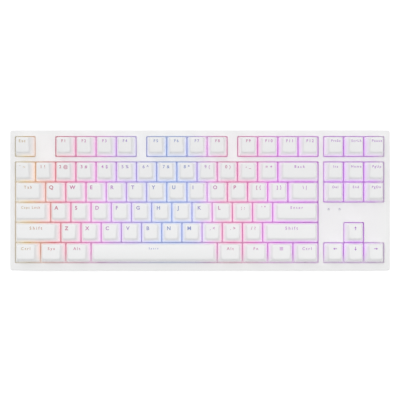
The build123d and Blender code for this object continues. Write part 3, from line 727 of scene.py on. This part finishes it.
def new_material(name, color, roughness, metallic, grain, grain_scale, mottle=MOTTLE):
    """Principled material with fine grain, faint mottling and uneven gloss."""
    mat = bpy.data.materials.new(name)
    mat.use_nodes = True
    mat.node_tree.nodes.clear()
    tree = Tree(mat.node_tree)
    place = tree.position()
    broad = tree.add("ShaderNodeTexNoise", Vector=place, Scale=MOTTLE_SCALE, Detail=3.0).outputs["Fac"]
    fine = tree.add("ShaderNodeTexNoise", Vector=place, Scale=grain_scale, Detail=2.0).outputs["Fac"]
    dark = tuple(channel * (1 - mottle) for channel in color)
    dull = min(1, roughness * (1 + GLOSS_SPREAD))
    bump = tree.add("ShaderNodeBump", Strength=grain, Distance=GRAIN_DEPTH, Height=fine)
    bsdf = tree.add(
        "ShaderNodeBsdfPrincipled",
        Base_Color=tree.mix(broad, (*dark, 1), (*color, 1)),
        Metallic=metallic,
        Roughness=tree.ranged(broad, 0.3, 0.7, roughness * (1 - GLOSS_SPREAD), dull),
        Normal=bump.outputs["Normal"],
    )
    tree.add("ShaderNodeOutputMaterial", Surface=bsdf.outputs["BSDF"])
    return mat, tree, bsdf


def emit(tree, bsdf, color, strength=1.0):
    tree.feed(bsdf.inputs["Emission Color"], color)
    tree.feed(bsdf.inputs["Emission Strength"], strength)


def resin_material(key):
    """Clear or white resin that passes the light of the diode under it."""
    mat, tree, bsdf = new_material(*FINISHES[key])
    color, inside = back_light(tree)
    emit(tree, bsdf, color, tree.math("MULTIPLY", inside, RESIN_GLOW))
    return mat


def cap_material():
    """White plastic with painted back light: a coloured glow, most at the rim, and a faint white glow in
    its sides.
    """
    mat, tree, bsdf = new_material(*FINISHES["cap"])
    lift = tree.add("ShaderNodeAttribute")
    lift.attribute_name = "lift"
    # Painted back light: the caps glow in the light's colour near the rim, and faintly white over the
    # sides, fading out near the top.
    rim = tree.math("POWER", tree.ranged(lift.outputs["Fac"], 0.0, 0.9, 1.0, 0.0), CAP_GLOW_FALL)
    body = tree.ranged(lift.outputs["Fac"], 0.7, 0.98, 1.0, 0.0)
    color, inside = back_light(tree)
    rim_glow_strength = tree.math("MULTIPLY", inside, tree.math("MULTIPLY", rim, CAP_RIM_GLOW))
    colored_glow = tree.scaled(tree.mix(CAP_GLOW_PALENESS, color, WHITE), rim_glow_strength)
    pale = tree.scaled(COOL_WHITE, tree.math("MULTIPLY", body, CAP_PASS))
    emit(tree, bsdf, tree.vector("ADD", colored_glow, pale))
    return mat


def legend_material():
    """Grey print with some of the back light's colour painted into its base colour."""
    mat, tree, bsdf = new_material(*FINISHES["print"])
    grey = FINISHES["print"][1]
    color, _ = back_light(tree)
    # Painted back light: the print's base colour is mixed towards the light's colour at its place.
    tree.feed(bsdf.inputs["Base Color"], tree.mix(PRINT_PAINTED_LIGHT, (*grey, 1), color))
    return mat


def gap_glow(tree, bsdf, inner, outer, share=1.0):
    """Painted light between the caps, as glow: the back light's colour inside the field, and pale light
    along its border.
    """
    color, inside = back_light(tree)
    colored_glow = tree.scaled(color, tree.math("MULTIPLY", inside, inner))
    border = tree.math("SUBTRACT", 1.0, inside)
    pale = tree.scaled(GAP_WHITE, tree.math("MULTIPLY", border, outer))
    emit(tree, bsdf, tree.vector("ADD", colored_glow, pale), share)


def plate_material():
    mat, tree, bsdf = new_material(*FINISHES["plate"])
    # Painted back light on the plate between the caps.
    gap_glow(tree, bsdf, *PLATE_GLOW)
    return mat


def case_material():
    """White plastic with a painted shadow where its two halves meet, and painted back light on the walls
    of its windows and faintly on the bezel around them.
    """
    mat, tree, bsdf = new_material(*FINISHES["case"])
    height = deck_height(tree)
    # Painted shadow: the base colour darkens in a thin band at the height where the two halves meet.
    off = tree.math("ABSOLUTE", tree.math("SUBTRACT", height, CASE_SPLIT))
    seam_shadow = tree.ranged(off, *SEAM_EDGES, SEAM_SHADE, 1.0)
    plain = bsdf.inputs["Base Color"].links[0].from_socket
    tree.feed(bsdf.inputs["Base Color"], tree.scaled(plain, seam_shadow))

    # Painted back light: the walls of the bezel's windows glow, and the bezel around them faintly.
    split = tree.add("ShaderNodeSeparateXYZ", Vector=tree.position())
    within = tree.math("GREATER_THAN", height, GLOW_FOOT)
    for axis, half, inset in zip("XY", CASE_HALVES, GLOW_INSETS):
        near = tree.math("LESS_THAN", tree.math("ABSOLUTE", split.outputs[axis]), half - inset)
        within = tree.math("MULTIPLY", within, near)
    wall = tree.ranged(height, CASE_TOP - BEZEL_SKIN, 0.0)
    share = tree.math("MULTIPLY_ADD", wall, 1 - BEZEL_SHARE, BEZEL_SHARE)
    gap_glow(tree, bsdf, *CASE_GLOW, tree.math("MULTIPLY", share, within))
    return mat


def all_materials():
    """One material for each finish."""
    made = {"case": case_material(), "plate": plate_material(), "cap": cap_material()}
    made["print"] = legend_material()
    for key in RESINS:
        made[key] = resin_material(key)
    for key, finish in FINISHES.items():
        if key not in made:
            made[key] = new_material(*finish)[0]
    return made


# ---- pieces --------------------------------------------------------------------------------------


def build_bank(bank, mats):
    """Caps, legends, stems and springs of the keys that share a CAD node."""
    node, row, left, units, legends = bank
    cap = Cap(units, row)
    caps, prints, stems, springs = Shape(), Shape(), Shape(), Shape()
    y = row_y(row)
    for index, legend in enumerate(legends):
        x = FIELD_LEFT + (left + (index + 0.5) * units) * PITCH
        cap.draw(caps, x, y)
        add_legend(prints, legend, cap, x, y)
        add_blocks(stems, CROSS_BLOCKS + SLIDER_BLOCKS, x, y)
        add_spring(springs, x, y)
        if units in STABILIZER_REACH:
            for dx in (-STABILIZER_REACH[units], STABILIZER_REACH[units]):
                add_blocks(stems, CROSS_BLOCKS + INSERT_BLOCKS, x + dx, y)
    word = node.split("_", 1)[1]
    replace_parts(caps.build("caps_" + word, node, mats["cap"], "keycap_plastic"), node)
    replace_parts(stems.build("stems_" + word, node, mats["stem"], "keycap_plastic"), node)
    prints.build("legends_" + word, node, mats["print"], "keycap_plastic")
    coils = springs.build("springs_" + word, "case", mats["steel"], "spring_steel")
    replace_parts(coils, "switch_springs")
    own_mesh(coils)


def dress_cad(mats):
    """Gives every CAD node that shows its own shape a finish."""
    finish_of = {node: finish for finish, nodes in NODES_BY_FINISH.items() for node in nodes}
    for name, piece in frame["nodes"].items():
        finish = "steel" if name.startswith("stabilizer_wire") else finish_of.get(name)
        if finish:
            piece.data.materials.clear()
            piece.data.materials.append(mats[finish])


# ---- stage, light and camera ---------------------------------------------------------------------


def add_floor():
    mesh = bpy.data.meshes.new("floor")
    corners = [(x, y, 0) for x, y in rectangle(2 * FLOOR_REACH, 2 * FLOOR_REACH)]
    mesh.from_pydata(corners, [], [(0, 1, 2, 3)])
    mat, tree, bsdf = new_material("floor_white", FLOOR_COLOR, 0.9, 0.0, 0.0, FINE_GRAIN, mottle=0.01)
    # The floor looks white to the camera but throws little light back at the case.
    emit(tree, bsdf, WHITE, tree.math("MULTIPLY", tree.camera_ray(), FLOOR_LIFT))
    mesh.materials.append(mat)
    floor = bpy.data.objects.new("floor", mesh)
    bpy.context.scene.collection.objects.link(floor)


def add_lamp(name, place, size, power):
    """Round soft lamp that points at the keyboard."""
    light = bpy.data.lights.new(name, "AREA")
    light.shape = "DISK"
    light.size = size
    light.energy = power
    holder = bpy.data.objects.new(name, light)
    holder.location = place
    holder.rotation_euler = (-Vector(place)).to_track_quat("-Z", "Y").to_euler()
    bpy.context.scene.collection.objects.link(holder)


def add_surroundings():
    """Even white to the camera, but brightest above and behind as light, which shades the caps' fronts."""
    world = bpy.data.worlds.new("studio")
    world.use_nodes = True
    tree = Tree(world.node_tree)
    toward = tree.add("ShaderNodeTexCoord").outputs["Generated"]
    cosine = tree.vector("DOT_PRODUCT", toward, Vector(SKY_TOWARD).normalized(), "Value")
    strength = tree.ranged(cosine, *SKY_SPAN, *SKY_STRENGTH)
    background = world.node_tree.nodes["Background"]
    tree.feed(background.inputs["Color"], WHITE)
    tree.feed(background.inputs["Strength"], tree.math("MAXIMUM", strength, tree.camera_ray()))
    bpy.context.scene.world = world


def add_camera():
    """Camera on the deck's normal, near enough to show the caps' leaning sides."""
    data = bpy.data.cameras.new("camera")
    data.sensor_width = CAMERA_SENSOR
    data.lens = CAMERA_SENSOR * CAMERA_DISTANCE / MM / CAMERA_WIDTH
    data.clip_start = 0.01
    camera = bpy.data.objects.new("camera", data)
    place = to_row(0, CAMERA_AIM, CAP_RIM) + DECK_UP * CAMERA_DISTANCE
    camera.matrix_world = Matrix.Translation(place) @ Matrix.Rotation(TILT, 4, "X")
    bpy.context.scene.collection.objects.link(camera)
    bpy.context.scene.camera = camera


def main():
    mats = all_materials()
    for bank in BANKS:
        build_bank(bank, mats)
    dress_cad(mats)
    add_floor()
    add_surroundings()
    for lamp in LAMPS:
        add_lamp(*lamp)
    add_camera()
    bpy.context.scene.view_settings.view_transform = "Standard"


main()
